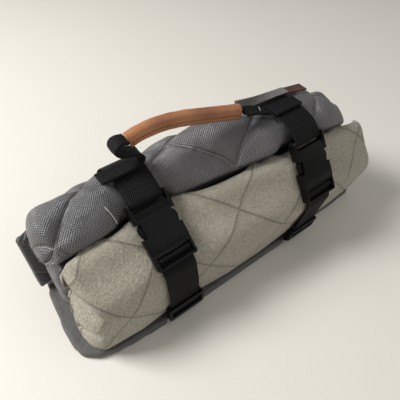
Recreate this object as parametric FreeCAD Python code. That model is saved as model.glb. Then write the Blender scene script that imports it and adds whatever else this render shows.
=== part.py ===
import FreeCAD, Part

# Quilted mat folded into a bundle and held in a two-strap carrier.
# Row frame, millimetres: +X along the bundle (to the right seen from the front),
# +Y to the back, +Z up. The origin is on the floor, under the middle of the bundle.

import math
import os

from FreeCAD import Placement, Rotation, Vector

# ---------------------------------------------------------------- driving sizes
WEB_WIDTH = 38.0            # webbing width
WEB_THICK = 1.6             # webbing thickness
BUNDLE_LENGTH = 424.0       # length of the folded mat
BASE_THICK = 10.5           # thickness of the bottom quilted layer
TAPE_THICK = 1.4            # binding tape thickness
TAPE_DEPTH = 13.0           # how far the binding tape reaches in over the layer's edge
LEFT_STRAP_X = -98.0        # middle of the left strap
RIGHT_STRAP_X = 85.0        # middle of the right strap
STRAP_GAP = 2.0             # from the mat under a strap to the strap's middle
GROOVE_SIDE = 3.0           # groove under the bundle, wider than the strap on each side
BUCKLE_WIDTH = 46.0         # across the side-release buckle
BUCKLE_LENGTH = 74.0        # from the plug's outer bar to the socket's outer bar
BUCKLE_LOW = 1.0            # underside of the buckle above the slope line
BUCKLE_HIGH = 10.8          # top of the buckle above the slope line
PLUG_BASE = 19.0            # length of the plug's strap end, outside the socket
JOIN_GAP = 0.4              # between the plug's base and the socket's mouth
WEB_SIDE = 0.8              # room beside the webbing in a slot
SOCKET_WALL = 2.0           # top and bottom wall of the socket
CAVITY_HALF = 18.6          # half width inside the socket
WINDOW_FROM = 36.0          # side window, start, measured along the buckle
WINDOW_TO = 52.0            # side window, end
LOOP_RADIUS = 3.1           # middle of the webbing where it turns round a bar
BAR_RADIUS = 1.8            # bars that the webbing turns round
HANDLE_RADIUS = 6.5         # outside of the leather grip
LEATHER = 2.0               # leather wall of the grip
HANDLE_WEB = 18.0           # handle webbing, folded in half
HANDLE_WEB_THICK = 3.2      # two layers of webbing
ANCHOR_LENGTH = 43.0        # sewn end of the handle webbing
KEEPER_HALF = 11.0          # half height of a strap keeper

HALF_LENGTH = BUNDLE_LENGTH / 2.0
HALF_WEB = WEB_WIDTH / 2.0
LOBE_FLOOR = BASE_THICK + 2.0    # lowest point of the layers lying on the bottom layer
DRAWN_BASE = 10.5                # bottom layer under which the heights below were drawn
LIFT = BASE_THICK - DRAWN_BASE   # a thicker bottom layer lifts all that lies on it


# ---------------------------------------------------------------- helpers
def yz(x, p):
    """A point of a cross-section placed at x."""
    return Vector(x, p[0], p[1])


def lifted(points):
    """Section points raised with the bottom layer's top."""
    return [(y, z + LIFT) for y, z in points]


def mix(a, b, t):
    """Two cross-sections blended point by point."""
    return [(p[0] + (q[0] - p[0]) * t, p[1] + (q[1] - p[1]) * t) for p, q in zip(a, b)]


def box(x0, x1, y0, y1, z0, z1):
    return Part.makeBox(x1 - x0, y1 - y0, z1 - z0, Vector(x0, y0, z0))


def band(path, thick, width, middle, across):
    """A flat band: a smooth path of vectors given a thickness, then a width along across."""
    curve = Part.BSplineCurve()
    curve.interpolate(path)
    steps = 6 * (len(path) - 1)
    first = curve.FirstParameter
    span = curve.LastParameter - first
    upper = []
    lower = []
    for i in range(steps + 1):
        at = first + span * i / steps
        point = curve.value(at)
        side = curve.tangent(at)[0].cross(across)
        side.normalize()
        upper.append(point + side * (thick / 2.0))
        lower.append(point - side * (thick / 2.0))
    top = Part.BSplineCurve()
    top.interpolate(upper)
    under = Part.BSplineCurve()
    under.interpolate(lower)
    ends = [Part.makeLine(upper[-1], lower[-1]), Part.makeLine(lower[0], upper[0])]
    wire = Part.Wire(Part.__sortEdges__([top.toShape(), under.toShape()] + ends))
    face = Part.Face(wire)
    face.translate(across * middle - across * (width / 2.0))
    return face.extrude(across * width)


def arc_points(centre, radius, start_deg, end_deg, count):
    """Points on an arc in the (along, out) plane of a buckle."""
    out = []
    for i in range(count):
        a = math.radians(start_deg + (end_deg - start_deg) * i / (count - 1))
        out.append((centre[0] + radius * math.cos(a), centre[1] + radius * math.sin(a)))
    return out


# ---------------------------------------------------------------- the two straps' seats
class Seat:
    """Where one strap and its buckle lie on the bundle."""

    def __init__(self, x, crest, slope_deg, front, top, back, keeper, keeper_lean_deg):
        self.x = x
        self.crest = (crest[0], crest[1] + LIFT)
        self.front = lifted(front)
        self.top = lifted(top)
        self.back = lifted(back)
        self.keeper = (keeper[0], keeper[1] + LIFT)
        self.lean = math.radians(keeper_lean_deg)
        self.slope = math.radians(slope_deg)
        self.frame = Placement(yz(x, self.crest), Rotation(Vector(1, 0, 0), slope_deg))

    def along(self, u, w):
        """Section point (y, z) at distance u up the slope and w above it."""
        c = math.cos(self.slope)
        s = math.sin(self.slope)
        return (self.crest[0] + u * c - w * s, self.crest[1] + u * s + w * c)


LEFT = Seat(
    LEFT_STRAP_X,
    crest=(-57.0, 91.0),
    slope_deg=39.5,
    front=[(-68.2, 11.5), (-68.3, 20.0), (-68.3, 34.0), (-68.3, 50.0), (-67.4, 64.0), (-65.2, 77.0)],
    top=[(13.0, 154.6), (25.0, 158.4), (39.0, 156.6), (53.5, 147.0), (65.0, 130.0)],
    back=[(73.0, 102.0), (74.6, 62.0), (74.2, 24.0)],
    keeper=(-68.3, 22.6),
    keeper_lean_deg=0.0,
)
RIGHT = Seat(
    RIGHT_STRAP_X,
    crest=(-80.0, 91.0),
    slope_deg=58.0,
    front=[(-68.7, 11.5), (-70.68, 20.0), (-73.65, 34.0), (-77.05, 50.0), (-80.2, 64.0), (-83.2, 77.0)],
    top=[(-31.0, 170.6), (-17.0, 173.6), (0.0, 174.6), (18.0, 172.0), (34.0, 163.0), (48.0, 149.0)],
    back=[(66.0, 110.0), (71.0, 66.0), (71.5, 24.0)],
    keeper=(-71.44, 23.6),
    keeper_lean_deg=12.0,
)

# ---------------------------------------------------------------- the mat's layers
# Each layer is a soft lobe. Its section is given at the left strap and at the right strap,
# first the points that face out, then those that lie against the neighbouring layers.
FRONT_OUT_LEFT = [(-61.6, 19.5), (-63.6, 30.0), (-63.6, 48.0), (-64.0, 64.0), (-61.6, 78.0), (-55.6, 90.6),
                  (-36.0, 106.8), (-15.0, 123.6)]
FRONT_OUT_RIGHT = [(-63.2, 19.5), (-67.0, 30.0), (-71.6, 48.0), (-76.6, 64.0), (-79.8, 78.0), (-78.6, 91.0),
                   (-64.6, 113.4), (-50.0, 136.0)]
FRONT_IN_LEFT = [(-8.4, 124.4), (-4.6, 108.0), (-4.0, 70.0), (-4.6, 34.0), (-10.0, 16.4), (-36.0, 14.2)]
FRONT_IN_RIGHT = [(-42.4, 139.6), (-30.6, 121.0), (-15.6, 78.0), (-12.6, 36.0), (-17.0, 16.4), (-40.0, 14.2)]

TOP_OUT_LEFT = [(0.0, 136.4), (12.0, 150.0), (25.0, 156.0), (38.6, 154.2), (51.8, 144.8), (62.2, 130.0)]
TOP_OUT_RIGHT = [(-33.6, 160.4), (-17.6, 170.8), (0.0, 172.2), (17.4, 169.6), (32.6, 160.8), (48.4, 144.2)]
TOP_IN_LEFT = [(63.4, 122.5), (51.0, 107.0), (32.0, 102.6), (12.0, 106.6), (2.4, 117.0), (-0.4, 127.5)]
TOP_IN_RIGHT = [(54.0, 128.5), (45.0, 107.6), (22.0, 102.6), (-4.0, 108.0), (-20.0, 126.0), (-32.0, 144.0)]

INNER_LEFT = [(0.0, 60.0), (0.0, 30.0), (6.0, 14.0), (30.0, 12.6), (50.0, 14.0), (56.0, 30.0), (57.0, 62.0),
              (53.0, 86.0), (42.0, 93.6), (22.0, 94.4), (6.0, 92.0), (0.5, 80.0)]
INNER_RIGHT = [(-8.0, 60.0), (-7.0, 30.0), (-2.0, 14.0), (26.0, 12.6), (46.0, 14.0), (52.0, 30.0), (53.0, 62.0),
               (47.0, 86.0), (36.0, 93.6), (14.0, 94.4), (-4.0, 92.0), (-8.6, 80.0)]

BACK_OUT_LEFT = [(67.0, 116.0), (71.0, 92.0), (72.2, 62.0), (71.8, 34.0), (69.0, 14.5)]
BACK_OUT_RIGHT = [(60.0, 117.0), (65.0, 96.0), (68.4, 62.0), (69.0, 34.0), (66.0, 14.5)]
BACK_IN_LEFT = [(64.0, 12.6), (59.5, 18.0), (60.0, 36.0), (60.4, 62.0), (59.0, 90.0), (58.0, 104.0), (62.0, 114.0)]
BACK_IN_RIGHT = [(61.0, 12.6), (56.0, 18.0), (56.6, 36.0), (57.0, 62.0), (53.0, 90.0), (50.6, 104.0), (55.0, 114.0)]

# Where each layer ends, left and right.
TOP_ENDS = (-HALF_LENGTH + 4.0, HALF_LENGTH - 30.0)
FRONT_ENDS = (-HALF_LENGTH + 1.0, HALF_LENGTH)
INNER_ENDS = (-HALF_LENGTH + 8.0, HALF_LENGTH - 18.0)
BACK_ENDS = (-HALF_LENGTH - 6.0, HALF_LENGTH - 10.0)

# Along the bundle: x, how far from the left section to the right one, how much the layer swells
# out between the straps, and how much it is drawn down and drawn in towards the ends.
STRAP_ZONE = HALF_WEB + 7.0
STATIONS = [
    (-HALF_LENGTH, 0.0, -5.0, 0.87, 0.90),
    (-HALF_LENGTH + 14.0, 0.0, 1.0, 0.92, 0.95),
    (LEFT_STRAP_X - 52.0, 0.0, 3.0, 0.945, 0.985),
    (LEFT_STRAP_X - STRAP_ZONE, 0.0, 0.0, 1.0, 1.0),
    (LEFT_STRAP_X + STRAP_ZONE, 0.0, 0.0, 1.0, 1.0),
    (LEFT_STRAP_X + 66.0, 0.35, 3.5, 1.0, 1.0),
    (RIGHT_STRAP_X - 66.0, 0.65, 3.5, 1.0, 1.0),
    (RIGHT_STRAP_X - STRAP_ZONE, 1.0, 0.0, 1.0, 1.0),
    (RIGHT_STRAP_X + STRAP_ZONE, 1.0, 0.0, 1.0, 1.0),
    (RIGHT_STRAP_X + 58.0, 1.0, 2.0, 0.96, 0.985),
    (HALF_LENGTH - 16.0, 1.0, 0.0, 0.885, 0.95),
    (HALF_LENGTH, 1.0, -6.0, 0.81, 0.90),
]


def section(x, outer, inner, swell, down, drawn, curves):
    """One closed cross-section wire of a layer, drawn as one curve or cut into several."""
    points = outer + inner
    cy = sum(p[0] for p in points) / len(points)
    cz = sum(p[1] for p in points) / len(points)
    ring = []
    for i, (y, z) in enumerate(points):
        if i < len(outer):
            reach = math.hypot(y - cy, z - cz)
            y = y + (y - cy) / reach * swell
            z = z + (z - cz) / reach * swell
        y = y * drawn
        z = LOBE_FLOOR + (z + LIFT - LOBE_FLOOR) * down
        ring.append(Vector(x, y, z))
    curve = Part.BSplineCurve()
    curve.interpolate(ring, PeriodicFlag=True)
    if curves == 1:
        return Part.Wire(curve.toShape())
    knots = curve.getKnots()
    cuts = [knots[i * (len(knots) - 1) // curves] for i in range(curves + 1)]
    return Part.Wire([curve.trim(cuts[i], cuts[i + 1]).toShape() for i in range(curves)])


def lobe(out_left, out_right, in_left, in_right, ends, swells=True, curves=1):
    """A soft layer: a solid through its sections along the bundle, between its own two ends."""
    wires = []
    for x, t, swell, down, drawn in STATIONS:
        amount = swell if swells else 0.0
        start = LEFT_STRAP_X - STRAP_ZONE
        finish = RIGHT_STRAP_X + STRAP_ZONE
        if x < start:
            x = start + (x - start) * (ends[0] - start) / (-HALF_LENGTH - start)
        if x > finish:
            x = finish + (x - finish) * (ends[1] - finish) / (HALF_LENGTH - finish)
        wires.append(section(x, mix(out_left, out_right, t), mix(in_left, in_right, t), amount, down, drawn, curves))
    return Part.makeLoft(wires, True, True)


# ---------------------------------------------------------------- bottom layer and its binding
BASE_OUTLINE = [
    (-HALF_LENGTH, 66.0), (-HALF_LENGTH - 4.0, 30.0), (-HALF_LENGTH - 7.0, -2.0),
    (-HALF_LENGTH - 8.0, -26.0), (-HALF_LENGTH - 4.0, -43.0), (-HALF_LENGTH + 9.0, -55.0),
    (-HALF_LENGTH + 28.0, -61.0), (-HALF_LENGTH + 54.0, -64.5), (-HALF_LENGTH + 84.0, -66.0),
    (RIGHT_STRAP_X + 20.0, -66.0),
    (RIGHT_STRAP_X + 52.0, -60.0), (HALF_LENGTH - 8.0, -58.0), (HALF_LENGTH, -52.0), (HALF_LENGTH, 66.0),
]


def outline_face(shrink):
    """The bottom layer's outline, drawn in by shrink."""
    pts = [Vector(x, y, 0) for x, y in BASE_OUTLINE]
    pts.append(pts[0])
    wire = Part.Wire(Part.makePolygon(pts))
    if shrink:
        wire = wire.makeOffset2D(-shrink, 0, False, False, False)
    return Part.Face(wire)


def slab(shrink, z0, z1):
    face = outline_face(shrink)
    face.translate(Vector(0, 0, z0))
    return face.extrude(Vector(0, 0, z1 - z0))


def strap_grooves():
    """Room under the bundle for both straps, deeper at their seam and where they turn up."""
    half = HALF_WEB + GROOVE_SIDE
    shallow = WEB_THICK + 0.7
    deep = 2.0 * WEB_THICK + 1.2
    corner = BASE_THICK - TAPE_THICK - 0.6
    out = []
    for seat in (LEFT, RIGHT):
        out.append(box(seat.x - half, seat.x + half, -20.0, 80.0, -1.0, shallow))
        out.append(box(seat.x - half, seat.x + half, -80.0, -12.0, -1.0, deep))
        out.append(box(seat.x - half, seat.x + half, -80.0, -60.5, -1.0, corner))
        out.append(box(seat.x - half, seat.x + half, 52.0, 80.0, -1.0, corner))
    return out


def base_panel():
    middle = slab(TAPE_DEPTH + 0.4, 0.0, BASE_THICK)
    edge = slab(TAPE_THICK + 0.3, TAPE_THICK + 0.3, BASE_THICK - TAPE_THICK - 0.3)
    solid = middle.fuse(edge).removeSplitter()
    for groove in strap_grooves():
        solid = solid.cut(groove)
    return solid


def binding(which):
    """The folded tape round the bottom layer's front, left or right edge."""
    ring = slab(0.0, 0.0, BASE_THICK).cut(slab(TAPE_DEPTH, -1.0, BASE_THICK + 1.0))
    ring = ring.cut(slab(TAPE_THICK, TAPE_THICK, BASE_THICK - TAPE_THICK))
    corner = 0.1
    front_y = -44.0
    if which == "front":
        keep = box(-300.0, 300.0, -100.0, front_y, -5.0, 30.0)
    elif which == "left":
        keep = box(-300.0, 0.0, front_y + 2.0 * corner, 50.0, -5.0, 30.0)
    else:
        keep = box(0.0, 300.0, front_y + 2.0 * corner, 50.0, -5.0, 30.0)
    solid = ring.common(keep)
    for groove in strap_grooves():
        solid = solid.cut(groove)
    return solid


# ---------------------------------------------------------------- straps
def upper_strap(seat):
    """Webbing from the socket's bar over the top, down the back and under the bundle."""
    bar = (BUCKLE_LENGTH - 4.0, 5.6)
    local = arc_points(bar, LOOP_RADIUS, 285.0, 90.0, 7)
    local = local + [(bar[0] + 6.0, bar[1] + LOOP_RADIUS - 0.4), (bar[0] + 12.5, bar[1] + 1.2)]
    path = [yz(0, seat.along(u, w)) for u, w in local]
    path = path + [yz(0, p) for p in seat.top + seat.back]
    corner = seat.back[-1][0]
    low = 0.2 + WEB_THICK / 2.0
    turn = [(corner - 1.2, 11.0), (corner - 5.0, 4.0), (corner - 12.0, low + 0.1), (corner - 24.0, low)]
    path = path + [yz(0, p) for p in turn + [(0.0, low), (-24.0, low), (-48.0, low)]]
    return band(path, WEB_THICK, WEB_WIDTH, seat.x, Vector(1, 0, 0))


def lower_strap(seat):
    """Webbing from the seam under the bundle, up the front and round the plug's middle bar."""
    low = 0.4 + 1.5 * WEB_THICK
    foot = seat.front[0][0]
    path = [(-20.0, low), (-38.0, low), (-54.0, low), (foot + 6.4, low + 0.5), (foot + 1.6, low + 3.8)]
    path = path + seat.front
    local = [(-7.0, 0.8), (-1.5, 1.5), (2.6, 2.0), (5.2, 3.1)]
    local = local + arc_points((10.0, 5.2), LOOP_RADIUS + 0.2, 180.0, -60.0, 8)
    path = path + [seat.along(u, w) for u, w in local]
    return band([yz(0, p) for p in path], WEB_THICK, WEB_WIDTH, seat.x, Vector(1, 0, 0))


# ---------------------------------------------------------------- side-release buckle
# Built lying flat: x across, y along the strap (towards the socket), z out of the bundle.
def cross_bar(y, z, radius, half):
    return Part.makeCylinder(radius, 2.0 * half, Vector(-half, y, z), Vector(1, 0, 0))


def rounded(solid, radius, picked):
    """Rounds the edges that picked chooses by their middle point and direction."""
    edges = []
    for edge in solid.Edges:
        if edge.Curve.TypeId != "Part::GeomLine":
            continue
        middle = edge.valueAt((edge.FirstParameter + edge.LastParameter) / 2.0)
        direction = edge.tangentAt(edge.FirstParameter)
        if picked(middle, direction):
            edges.append(edge)
    return solid.makeFillet(radius, edges)


def socket(seat):
    half = BUCKLE_WIDTH / 2.0
    mouth = PLUG_BASE + JOIN_GAP
    body_end = BUCKLE_LENGTH - 11.0
    body = box(-half, half, mouth, BUCKLE_LENGTH, BUCKLE_LOW, BUCKLE_HIGH)
    body = rounded(body, 4.0, lambda m, d: abs(d.z) > 0.9 and m.y > mouth + 1.0)
    body = rounded(body, 1.6, lambda m, d: m.z > BUCKLE_HIGH - 0.1 and abs(m.x) > half - 0.1)
    cavity = box(-CAVITY_HALF, CAVITY_HALF, mouth - 1.0, WINDOW_TO + 2.0,
                 BUCKLE_LOW + SOCKET_WALL, BUCKLE_HIGH - SOCKET_WALL)
    body = body.cut(cavity)
    for side in (-1.0, 1.0):
        x0 = min(side * (CAVITY_HALF - 0.6), side * (half + 1.0))
        x1 = max(side * (CAVITY_HALF - 0.6), side * (half + 1.0))
        body = body.cut(box(x0, x1, WINDOW_FROM, WINDOW_TO, BUCKLE_LOW - 1.0, BUCKLE_HIGH + 1.0))
    slot = box(-HALF_WEB - WEB_SIDE, HALF_WEB + WEB_SIDE, body_end, BUCKLE_LENGTH + 1.0,
               BUCKLE_LOW - 1.0, BUCKLE_HIGH + 1.0)
    body = body.cut(slot)
    scoop = Part.makeCylinder(30.0, 2.0 * half, Vector(-half, body_end + 4.0, BUCKLE_HIGH + 27.6),
                              Vector(1, 0, 0))
    body = body.cut(scoop.common(box(-HALF_WEB, HALF_WEB, body_end - 14.0, body_end + 1.0,
                                     BUCKLE_HIGH - 4.0, BUCKLE_HIGH + 1.0)))
    body = body.fuse(cross_bar(BUCKLE_LENGTH - 4.0, 5.6, BAR_RADIUS, HALF_WEB + WEB_SIDE + 0.6))
    body.Placement = seat.frame
    return body


def plug(seat):
    half = BUCKLE_WIDTH / 2.0
    rail = HALF_WEB + WEB_SIDE
    frame = box(-half, half, 0.0, PLUG_BASE, BUCKLE_LOW, BUCKLE_HIGH - 1.0)
    frame = rounded(frame, 3.0, lambda m, d: abs(d.z) > 0.9 and m.y < 1.0)
    frame = rounded(frame, 1.4, lambda m, d: m.z > BUCKLE_HIGH - 1.1 and abs(d.y) > 0.9)
    frame = frame.cut(box(-rail, rail, -1.0, PLUG_BASE - 3.4, BUCKLE_LOW - 1.0, BUCKLE_HIGH + 1.0))
    frame = frame.fuse(box(-rail - 0.5, rail + 0.5, 0.3, 2.9, 3.9, BUCKLE_HIGH - 1.6))
    frame = frame.fuse(cross_bar(10.0, 5.2, BAR_RADIUS, rail + 0.5))
    tongue = box(-5.4, 5.4, PLUG_BASE - 0.5, WINDOW_TO - 5.0, 4.0, 7.6)
    tongue = rounded(tongue, 2.5, lambda m, d: abs(d.z) > 0.9 and m.y > PLUG_BASE + 2.0)
    for side in (-1.0, 1.0):
        root = box(12.2 * side - 3.0, 12.2 * side + 3.0, PLUG_BASE - 0.5, PLUG_BASE + 1.6, 3.6, 8.2)
        tongue = tongue.fuse(root)
    frame = frame.fuse(tongue)
    frame.Placement = seat.frame
    return frame


def prong(seat, side):
    """A sprung arm of the plug: its head fills the socket's side window."""
    start = PLUG_BASE + 2.0
    shoulder = WINDOW_FROM + 0.5
    tip = WINDOW_TO - 0.6
    pts = [(10.6, start), (14.0, start), (15.0, shoulder), (20.6, shoulder), (22.7, shoulder + 7.0),
           (21.8, tip - 2.6), (18.6, tip), (14.4, tip), (11.2, shoulder - 2.0)]
    ring = [Vector(side * x, y, 3.6) for x, y in pts]
    ring.append(ring[0])
    arm = Part.Face(Part.Wire(Part.makePolygon(ring))).extrude(Vector(0, 0, 4.6))
    arm.Placement = seat.frame
    return arm


def keeper(seat):
    """A flat slide on the webbing: two bars in front of the strap, one behind it."""
    inner = HALF_WEB + WEB_SIDE
    outer = inner + 3.4
    front0 = WEB_THICK / 2.0 + 0.6
    front1 = front0 + 2.2
    behind0 = -front1 + 0.3
    behind1 = -front0 + 0.1
    body = box(-outer, outer, -KEEPER_HALF, KEEPER_HALF, behind0, front1)
    body = rounded(body, 3.0, lambda m, d: abs(d.z) > 0.9)
    body = body.cut(box(-inner, inner, -KEEPER_HALF - 1.0, KEEPER_HALF + 1.0, behind0 - 1.0, front1 + 1.0))
    for y0 in (-KEEPER_HALF + 0.5, KEEPER_HALF - 5.5):
        body = body.fuse(box(-inner - 0.5, inner + 0.5, y0, y0 + 5.0, front0, front1))
    body = body.fuse(box(-inner - 0.5, inner + 0.5, -2.4, 2.4, behind0, behind1))
    upright = 90.0 + math.degrees(seat.lean)
    body.Placement = Placement(yz(seat.x, seat.keeper), Rotation(Vector(1, 0, 0), upright))
    return body


# ---------------------------------------------------------------- handle
GRIP_PATH = [(-94.0, 22.4, 195.4), (-81.0, 20.8, 199.6), (-61.0, 17.8, 202.2), (-38.0, 14.0, 200.8),
             (-14.0, 9.8, 196.4), (8.0, 5.4, 192.2), (27.0, 1.4, 189.0)]


def grip_tube(radius, overhang):
    """A round body swept along the grip's arch, a little longer or shorter at each end."""
    pts = [Vector(x, y, z + LIFT) for x, y, z in GRIP_PATH]
    first = (pts[0] - pts[1]).normalize()
    last = (pts[-1] - pts[-2]).normalize()
    pts[0] = pts[0] + first * overhang
    pts[-1] = pts[-1] + last * overhang
    curve = Part.BSplineCurve()
    curve.interpolate(pts)
    spine = Part.Wire(curve.toShape())
    start = curve.tangent(curve.FirstParameter)[0]
    ring = Part.Wire(Part.makeCircle(radius, pts[0], start))
    return spine.makePipeShell([ring], True, True)


def grip_leather():
    return grip_tube(HANDLE_RADIUS, 0.0).cut(grip_tube(HANDLE_RADIUS - LEATHER, 2.0))


def grip_core():
    return grip_tube(HANDLE_RADIUS - LEATHER - 0.3, 0.0)


def webbing_left():
    """Folded webbing that curls from the grip's left end round to its sewn end."""
    path = [(-95.6, 195.0), (-101.6, 197.0), (-107.4, 195.4), (-109.4, 190.0), (-105.4, 184.2),
            (-97.0, 180.6), (-88.4, 178.6), (-82.6, 174.6), (-82.4, 168.6), (-87.2, 165.2)]
    path = [Vector(x, 0, z + LIFT) for x, z in path]
    return band(path, HANDLE_WEB_THICK, HANDLE_WEB, 23.0, Vector(0, 1, 0))


def webbing_right():
    """Folded webbing from the grip's right end down to the right strap."""
    path = [(28.8, 188.8), (38.0, 186.6), (47.0, 183.4), (55.0, 179.6), (61.6, 178.0)]
    path = [Vector(x, 0, z + LIFT) for x, z in path]
    return band(path, HANDLE_WEB_THICK, HANDLE_WEB, -4.0, Vector(0, 1, 0))


def anchor_left():
    x0 = LEFT_STRAP_X - HALF_WEB - 12.0
    plate = box(x0, x0 + ANCHOR_LENGTH, -HANDLE_WEB / 2.0, HANDLE_WEB / 2.0, 0.0, HANDLE_WEB_THICK)
    plate = rounded(plate, 1.2, lambda m, d: abs(d.y) > 0.9)
    plate.Placement = Placement(Vector(0, 25.0, 159.8 + LIFT), Rotation(Vector(1, 0, 0), 0.0))
    return plate


def anchor_right():
    x0 = RIGHT_STRAP_X - HALF_WEB - 1.0
    plate = box(x0, x0 + ANCHOR_LENGTH - 4.0, -HANDLE_WEB / 2.0, HANDLE_WEB / 2.0, 0.0, HANDLE_WEB_THICK)
    plate = rounded(plate, 1.2, lambda m, d: abs(d.y) > 0.9)
    plate.Placement = Placement(Vector(0, -9.6, 175.6 + LIFT), Rotation(Vector(1, 0, 0), 3.5))
    return plate


# ---------------------------------------------------------------- loose leather tab
# Its lower and upper edge (y, z) at a few places along x.
TAB_STATIONS = [
    (33.0, (11.4, 177.0), (14.0, 190.4)),
    (70.0, (8.4, 178.4), (14.6, 184.0)),
    (106.0, (4.4, 178.6), (15.6, 178.6)),
    (136.0, (2.4, 173.2), (15.4, 173.8)),
]


def tab_ply(offset, thick, last):
    """One ply of the tab: offset and thickness are square to its face."""
    wires = []
    for x, low, high in TAB_STATIONS[:last]:
        run = Vector(0, high[0] - low[0], high[1] - low[1])
        run.normalize()
        out = Vector(0, -run.z, run.y)
        a = Vector(x, low[0], low[1] + LIFT) + out * offset
        b = Vector(x, high[0], high[1] + LIFT) + out * offset
        wires.append(Part.makePolygon([a, b, b + out * thick, a + out * thick, a]))
    return Part.makeLoft([Part.Wire(w) for w in wires], True, True)


# ---------------------------------------------------------------- all nodes
def all_parts():
    parts = {
        "top_roll": lobe(TOP_OUT_LEFT, TOP_OUT_RIGHT, TOP_IN_LEFT, TOP_IN_RIGHT, TOP_ENDS),
        "front_fold": lobe(FRONT_OUT_LEFT, FRONT_OUT_RIGHT, FRONT_IN_LEFT, FRONT_IN_RIGHT, FRONT_ENDS),
        "inner_fold": lobe(INNER_LEFT[:1], INNER_RIGHT[:1], INNER_LEFT[1:], INNER_RIGHT[1:], INNER_ENDS, False, 2),
        "back_panel": lobe(BACK_OUT_LEFT, BACK_OUT_RIGHT, BACK_IN_LEFT, BACK_IN_RIGHT, BACK_ENDS, False),
        "base_panel": base_panel(),
        "binding_front": binding("front"),
        "binding_left": binding("left"),
        "binding_right": binding("right"),
        "grip_leather": grip_leather(),
        "grip_core": grip_core(),
        "handle_webbing_left": webbing_left(),
        "handle_webbing_right": webbing_right(),
        "handle_anchor_left": anchor_left(),
        "handle_anchor_right": anchor_right(),
        "tab_leather": tab_ply(-2.0, 2.0, 4),
        "tab_lining": tab_ply(0.15, 1.0, 3),
    }
    for name, seat in (("left", LEFT), ("right", RIGHT)):
        parts["strap_" + name + "_upper"] = upper_strap(seat)
        parts["strap_" + name + "_lower"] = lower_strap(seat)
        parts["socket_" + name] = socket(seat)
        parts["plug_" + name] = plug(seat)
        parts["prong_" + name + "_outer"] = prong(seat, -1.0 if name == "left" else 1.0)
        parts["prong_" + name + "_inner"] = prong(seat, 1.0 if name == "left" else -1.0)
        parts["keeper_" + name] = keeper(seat)
    return parts


os.makedirs("parts", exist_ok=True)
for node, shape in all_parts().items():
    if len(shape.Solids) != 1:
        print(node, "has", len(shape.Solids), "solids")
    shape.exportStep("parts/" + node + ".step")
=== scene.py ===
"""A quilted plush mat, folded and held by a two-strap webbing carrier with a leather grip."""

import logging
import math
from dataclasses import dataclass
from enum import Enum
from typing import Optional, Sequence, Union

import bmesh
import bpy
import numpy as np
from mathutils import Matrix, Vector, noise


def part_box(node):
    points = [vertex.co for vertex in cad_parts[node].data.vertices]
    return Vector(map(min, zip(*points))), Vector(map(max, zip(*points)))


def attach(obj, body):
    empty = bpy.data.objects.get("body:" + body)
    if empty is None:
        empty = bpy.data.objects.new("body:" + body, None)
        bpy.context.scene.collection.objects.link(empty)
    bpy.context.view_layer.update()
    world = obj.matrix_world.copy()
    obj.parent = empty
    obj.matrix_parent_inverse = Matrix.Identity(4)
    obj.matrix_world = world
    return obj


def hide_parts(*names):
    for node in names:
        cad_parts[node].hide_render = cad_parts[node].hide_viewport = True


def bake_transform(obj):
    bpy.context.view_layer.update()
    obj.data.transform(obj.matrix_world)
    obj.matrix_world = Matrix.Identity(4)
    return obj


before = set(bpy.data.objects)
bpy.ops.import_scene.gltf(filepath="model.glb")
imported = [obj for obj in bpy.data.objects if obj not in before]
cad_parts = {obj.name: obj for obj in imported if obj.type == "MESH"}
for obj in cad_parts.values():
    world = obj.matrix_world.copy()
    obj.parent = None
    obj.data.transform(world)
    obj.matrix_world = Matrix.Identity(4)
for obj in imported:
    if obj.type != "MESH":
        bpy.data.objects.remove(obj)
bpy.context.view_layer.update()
LOG = logging.getLogger("carrier")
MM = 0.001

Colour = tuple[float, float, float, float]
Socket = bpy.types.NodeSocket
Value = Union[float, Socket]


class Side(Enum):
    """The two straps of the carrier."""

    LEFT = "left"
    RIGHT = "right"


class Body(Enum):
    """The moving bodies that pieces ride on."""

    BUNDLE = "bundle"
    HANDLE = "handle"


def paint(red: int, green: int, blue: int) -> Colour:
    """A colour from 0 to 255 display values.

    Args:
        red: Display red.
        green: Display green.
        blue: Display blue.

    Returns:
        The colour in scene-linear values with full opacity.
    """
    linear = [(c / 255 / 12.92) if c <= 10 else ((c / 255 + 0.055) / 1.055) ** 2.4 for c in (red, green, blue)]
    return (linear[0], linear[1], linear[2], 1.0)


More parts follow.
